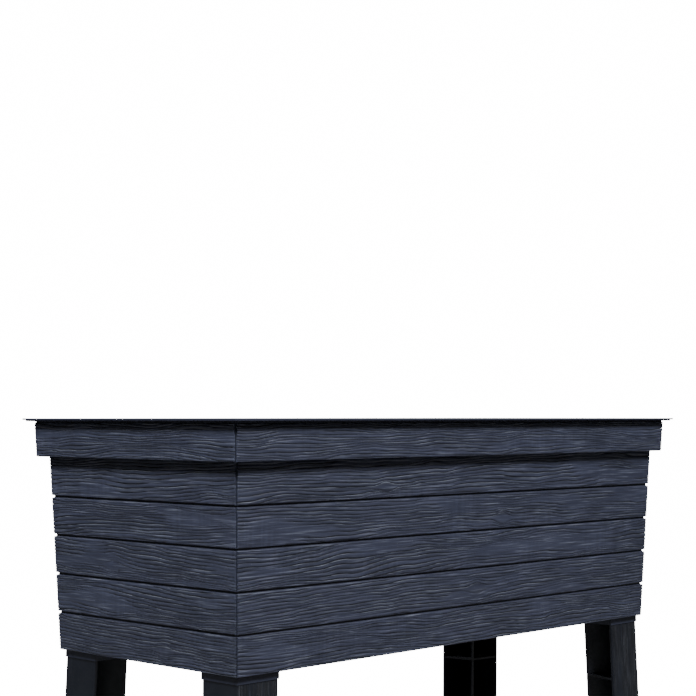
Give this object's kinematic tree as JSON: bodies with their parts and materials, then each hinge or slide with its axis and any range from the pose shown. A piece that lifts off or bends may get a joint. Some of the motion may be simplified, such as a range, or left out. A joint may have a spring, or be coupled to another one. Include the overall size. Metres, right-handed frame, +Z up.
{
  "type": "raised planter",
  "caption": "Raised garden planter: tapered plank-look plastic tub with a water reservoir, lift-out drainage grids, level gauge and drain, on splayed legs.",
  "frame": {"origin": "on the floor, under the middle of the tub", "axes": "+X along the tub's long side, to the right seen from the front; -Y is the front; +Z up"},
  "size_m": [1.139, 0.52, 0.757],
  "materials": {
    "charcoal_plastic": "satin",
    "leg_plastic": "satin",
    "black_plastic": "satin",
    "float_foam": "matte",
    "rod_plastic": "satin",
    "flag_plastic": "satin",
    "clear_plastic": "gloss",
    "black_rubber": "matte",
    "zinc_steel": "satin"
  },
  "bodies": {
    "planter": {"tub": "charcoal_plastic", "front_left_leg": "leg_plastic", "front_right_leg": "leg_plastic", "rear_left_leg": "leg_plastic", "rear_right_leg": "leg_plastic", "front_left_leg_screws": "zinc_steel", "front_right_leg_screws": "zinc_steel", "rear_left_leg_screws": "zinc_steel", "rear_right_leg_screws": "zinc_steel", "drain_fitting": "black_plastic", "drain_washer": "black_rubber", "drain_nut": "black_plastic"},
    "left_grid": {"left_grid": "black_plastic", "gauge_tube": "black_plastic"},
    "right_grid": {"right_grid": "black_plastic"},
    "left_basket": {"left_wick_basket": "black_plastic"},
    "right_basket": {"right_wick_basket": "black_plastic"},
    "float": {"gauge_float": "float_foam", "gauge_rod": "rod_plastic", "gauge_flag": "flag_plastic"},
    "gauge_cap": {"gauge_cap": "clear_plastic"},
    "drain_seal": {"drain_cap_seal": "black_rubber"},
    "drain_cap": {"drain_cap": "black_plastic"}
  },
  "joints": [
    {"name": "left_grid_lift", "type": "slide", "parent": "planter", "child": "left_grid", "axis": [0, 0, 1], "range_m": [0, 0.4]},
    {"name": "right_grid_lift", "type": "slide", "parent": "planter", "child": "right_grid", "axis": [0, 0, 1], "range_m": [0, 0.4]},
    {"name": "left_basket_lift", "type": "slide", "parent": "left_grid", "child": "left_basket", "axis": [0, 0, 1], "range_m": [0, 0.32]},
    {"name": "right_basket_lift", "type": "slide", "parent": "right_grid", "child": "right_basket", "axis": [0, 0, 1], "range_m": [0, 0.32]},
    {"name": "float_rise", "type": "slide", "parent": "left_grid", "child": "float", "axis": [0, 0, 1], "range_m": [0, 0.045]},
    {"name": "gauge_cap_pull", "type": "slide", "parent": "left_grid", "child": "gauge_cap", "axis": [0, 0, 1], "range_m": [0, 0.06]},
    {"name": "drain_cap_travel", "type": "slide", "parent": "planter", "child": "drain_seal", "axis": [0, 0, -1], "range_m": [0, 0.018]},
    {"name": "drain_cap_turn", "type": "hinge", "parent": "drain_seal", "child": "drain_cap", "pos_m": [0.47306, 0, 0.35], "axis": [0, 0, -1], "range_deg": [0, 1620]}
  ],
  "couplings": [
    {"joint": "drain_cap_turn", "follows": "drain_cap_travel", "rad_per_m": 1570.8}
  ]
}
